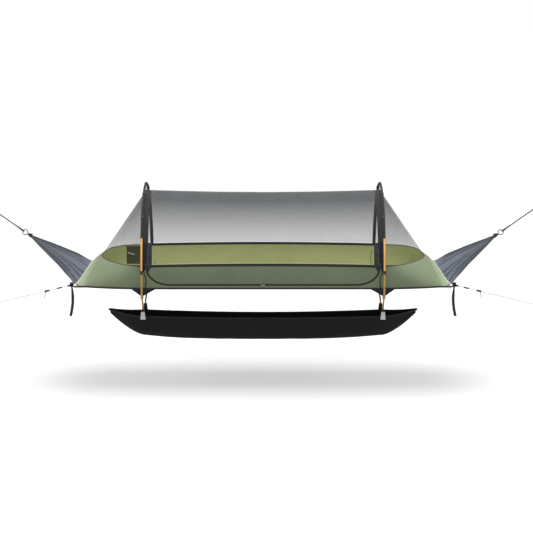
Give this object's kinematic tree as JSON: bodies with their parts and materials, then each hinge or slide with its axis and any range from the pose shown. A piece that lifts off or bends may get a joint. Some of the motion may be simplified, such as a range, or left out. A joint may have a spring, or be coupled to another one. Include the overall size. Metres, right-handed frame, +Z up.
{
  "type": "hammock tent",
  "caption": "Lay-flat hammock tent slung between two anchors, with a netting canopy on hoops, a zipped side door and a gear sling below.",
  "frame": {"origin": "inner face of the head carabiner where an anchor strap pulls on it", "axes": "+X along the bed from head to foot, +Y away from the door side, +Z up"},
  "size_m": [3.4345, 0.8984, 0.9501],
  "materials": {
    "sage_nylon": "matte woven nylon, sage green",
    "door_nylon": "matte woven nylon, darker sage green",
    "floor_nylon": "matte woven nylon, olive green",
    "black_mesh": "fine black insect netting, see-through",
    "black_webbing": "woven black tape",
    "fan_fabric": "slate blue woven nylon with a slight sheen",
    "orange_pole": "orange anodised, satin",
    "golden_pole": "golden anodised, satin",
    "grey_metal": "dark grey anodised",
    "black_plastic": "moulded, satin black",
    "rope_grey": "braided dark grey rope",
    "guy_cord": "thin pale grey cord",
    "sling_fabric": "matte black woven nylon",
    "pocket_mesh": "dark olive knitted mesh"
  },
  "bodies": {
    "tent": {"bed_floor": "floor_nylon", "centre_mesh": "black_mesh", "door_hem": "black_webbing", "door_panel": "door_nylon", "door_zip": "black_webbing", "far_edge_cord": "black_webbing", "far_wall": "sage_nylon", "foot_canopy_band": "black_webbing", "foot_carabiner": "grey_metal", "foot_fan": "fan_fabric", "foot_far_buckle": "black_plastic", "foot_far_cup": "black_plastic", "foot_far_leg": "golden_pole", "foot_gather_cuff": "black_webbing", "foot_gather_ring": "grey_metal", "foot_guyline": "guy_cord", "foot_hoop_arch": "orange_pole", "foot_hoop_sleeve": "black_webbing", "foot_mesh": "black_mesh", "foot_near_buckle": "black_plastic", "foot_near_cup": "black_plastic", "foot_near_leg": "golden_pole", "foot_rope": "rope_grey", "foot_spreader_bar": "grey_metal", "foot_spreader_sleeve": "sage_nylon", "gear_sling": "sling_fabric", "head_canopy_band": "black_webbing", "head_carabiner": "grey_metal", "head_fan": "fan_fabric", "head_far_buckle": "black_plastic", "head_far_cup": "black_plastic", "head_far_leg": "golden_pole", "head_gather_cuff": "black_webbing", "head_gather_ring": "grey_metal", "head_guyline": "guy_cord", "head_hoop_arch": "orange_pole", "head_hoop_sleeve": "black_webbing", "head_mesh": "black_mesh", "head_near_buckle": "black_plastic", "head_near_cup": "black_plastic", "head_near_leg": "golden_pole", "head_rope": "rope_grey", "head_spreader_bar": "grey_metal", "head_spreader_sleeve": "sage_nylon", "hem_tape": "black_webbing", "inside_pocket": "pocket_mesh", "near_edge_cord": "black_webbing", "near_wall": "sage_nylon", "sling_rim": "black_webbing"},
    "head_zip_slider": {"head_zip_slider": "grey_metal"},
    "head_zip_pull": {"head_zip_pull": "black_plastic"},
    "head_carabiner_gate": {"head_carabiner_gate": "grey_metal"},
    "head_tensioner": {"head_tensioner": "black_plastic"},
    "head_strap_tail": {"head_strap_tail": "black_webbing"},
    "foot_zip_slider": {"foot_zip_slider": "grey_metal"},
    "foot_zip_pull": {"foot_zip_pull": "black_plastic"},
    "foot_carabiner_gate": {"foot_carabiner_gate": "grey_metal"},
    "foot_tensioner": {"foot_tensioner": "black_plastic"},
    "foot_strap_tail": {"foot_strap_tail": "black_webbing"}
  },
  "joints": [
    {"name": "head_zip_slide", "type": "slide", "parent": "tent", "child": "head_zip_slider", "axis": [-1, 0, 0], "range_m": [0, 0.51]},
    {"name": "head_zip_pull_hinge", "type": "hinge", "parent": "head_zip_slider", "child": "head_zip_pull", "pos_m": [1.69849, -0.40099, -0.45874], "axis": [0, -0.312, 0.9501], "range_deg": [0, 110]},
    {"name": "head_gate_hinge", "type": "hinge", "parent": "tent", "child": "head_carabiner_gate", "pos_m": [0.02839, 0, -0.04197], "axis": [0, 1, 0], "range_deg": [0, 25], "stiffness_Nm_per_rad": 0.2, "springref_deg": -28.65},
    {"name": "head_tensioner_slide", "type": "slide", "parent": "tent", "child": "head_tensioner", "axis": [-0.9678, -0.1306, -0.2153], "range_m": [-0.08, 0.25]},
    {"name": "head_strap_tail_hinge", "type": "hinge", "parent": "tent", "child": "head_strap_tail", "pos_m": [0.60699, -0.385, -0.47014], "axis": [1, 0, 0], "range_deg": [-60, 60]},
    {"name": "foot_zip_slide", "type": "slide", "parent": "tent", "child": "foot_zip_slider", "axis": [1, 0, 0], "range_m": [0, 0.51]},
    {"name": "foot_zip_pull_hinge", "type": "hinge", "parent": "foot_zip_slider", "child": "foot_zip_pull", "pos_m": [1.71549, -0.40099, -0.45874], "axis": [0, 0.312, -0.9501], "range_deg": [0, 110]},
    {"name": "foot_gate_hinge", "type": "hinge", "parent": "tent", "child": "foot_carabiner_gate", "pos_m": [3.38558, 0, -0.04197], "axis": [0, -1, 0], "range_deg": [0, 25], "stiffness_Nm_per_rad": 0.2, "springref_deg": -28.65},
    {"name": "foot_tensioner_slide", "type": "slide", "parent": "tent", "child": "foot_tensioner", "axis": [0.9678, -0.1306, -0.2153], "range_m": [-0.08, 0.25]},
    {"name": "foot_strap_tail_hinge", "type": "hinge", "parent": "tent", "child": "foot_strap_tail", "pos_m": [2.80699, -0.385, -0.47014], "axis": [1, 0, 0], "range_deg": [-60, 60]}
  ]
}
